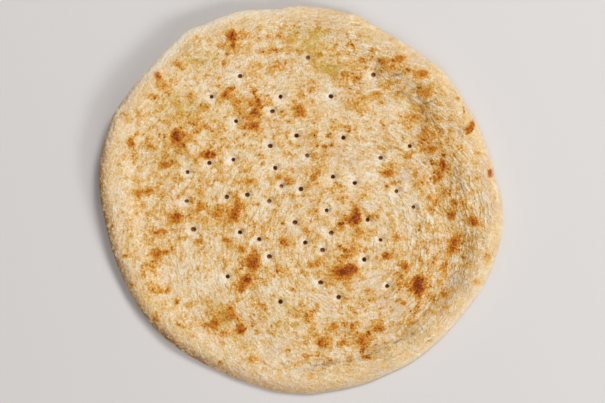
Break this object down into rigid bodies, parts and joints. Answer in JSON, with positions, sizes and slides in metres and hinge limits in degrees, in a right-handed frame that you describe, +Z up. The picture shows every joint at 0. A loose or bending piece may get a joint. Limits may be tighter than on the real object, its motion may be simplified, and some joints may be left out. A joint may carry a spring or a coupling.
{
  "type": "pizza base",
  "caption": "Round baked pizza base: a thin disc of bread with a low uneven rim and docker holes, ready to be topped and baked.",
  "frame": {"origin": "middle of the base's box at the level of its flat underside, which is the surface that it lies on", "axes": "+Z up out of the topping side; +X along the base's longest extent, to the right in the picture; +Y towards the picture's top"},
  "size_m": [0.2664, 0.2567, 0.0169],
  "materials": {
    "baked_crust": "matt, dry, floury baked dough skin with golden brown mottling"
  },
  "bodies": {
    "root": {"pizza_base": "baked_crust"}
  },
  "joints": []
}
